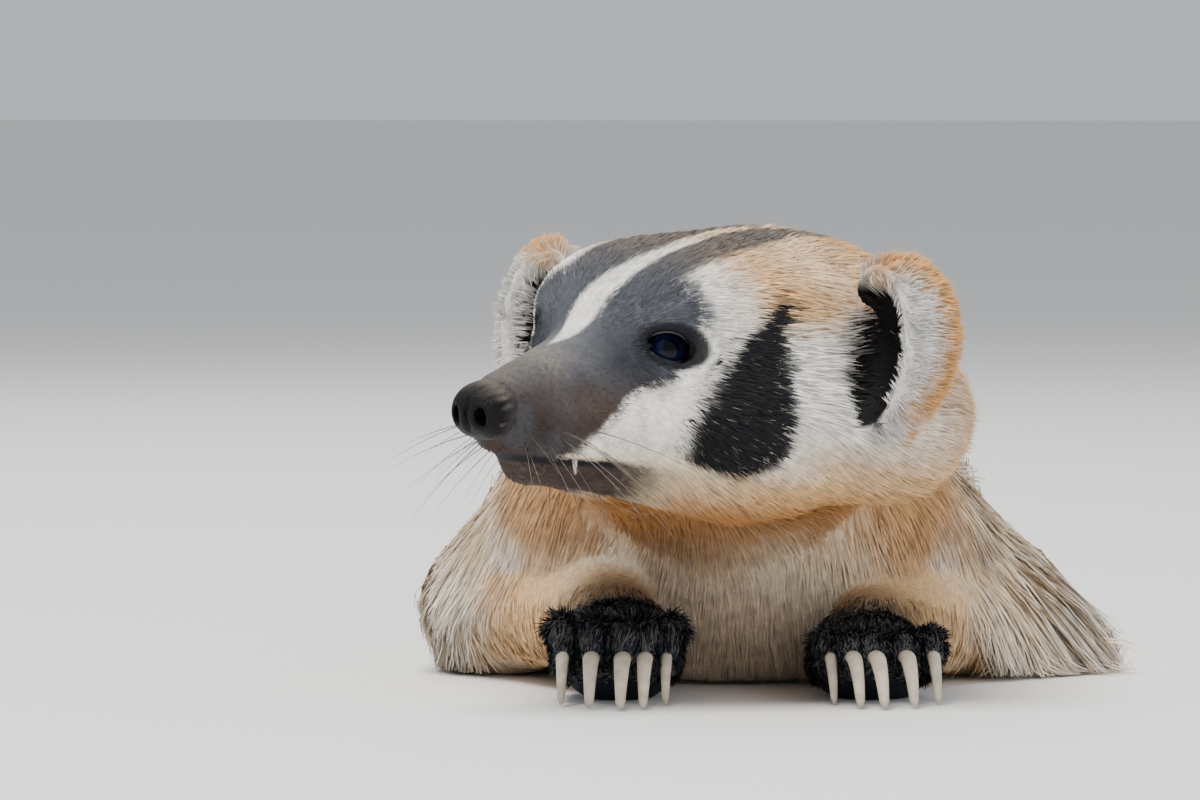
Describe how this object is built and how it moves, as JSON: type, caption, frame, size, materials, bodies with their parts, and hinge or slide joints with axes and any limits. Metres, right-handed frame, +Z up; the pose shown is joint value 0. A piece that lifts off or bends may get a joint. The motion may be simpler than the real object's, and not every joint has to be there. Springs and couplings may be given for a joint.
{
  "type": "american badger",
  "caption": "Life-size still model of an American badger lying flat, forepaws in front, head raised and turned to its right.",
  "frame": {"origin": "on the floor under the middle of the belly", "axes": "+X forward along the body towards the chest, +Y to the animal's left, +Z up"},
  "size_m": [0.6059, 0.2288, 0.1395],
  "materials": {
    "coat": "long coarse grizzled fur, cream with brown bands",
    "face_coat": "short dense fur, white, slate and black markings",
    "leg_coat": "short blackish fur",
    "nose_pad": "damp pebbled skin, dusty on top",
    "claw": "worn pale horn",
    "eye": "wet and dark",
    "tooth": "smooth enamel"
  },
  "bodies": {
    "root": {"abdomen": "coat", "chest": "coat", "neck": "coat", "tail": "coat", "head": "face_coat", "ear_right": "face_coat", "ear_left": "face_coat", "nose": "nose_pad", "canine_left": "tooth", "eye_right": "eye", "eye_left": "eye", "upper_arm_right": "coat", "thigh_right": "coat", "forearm_right": "leg_coat", "forepaw_right": "leg_coat", "hind_foot_right": "leg_coat", "foreclaw_right_1": "claw", "foreclaw_right_2": "claw", "foreclaw_right_3": "claw", "foreclaw_right_4": "claw", "foreclaw_right_5": "claw", "hindclaw_right_1": "claw", "hindclaw_right_2": "claw", "hindclaw_right_3": "claw", "hindclaw_right_4": "claw", "hindclaw_right_5": "claw", "upper_arm_left": "coat", "thigh_left": "coat", "forearm_left": "leg_coat", "forepaw_left": "leg_coat", "hind_foot_left": "leg_coat", "foreclaw_left_1": "claw", "foreclaw_left_2": "claw", "foreclaw_left_3": "claw", "foreclaw_left_4": "claw", "foreclaw_left_5": "claw", "hindclaw_left_1": "claw", "hindclaw_left_2": "claw", "hindclaw_left_3": "claw", "hindclaw_left_4": "claw", "hindclaw_left_5": "claw"}
  },
  "joints": []
}
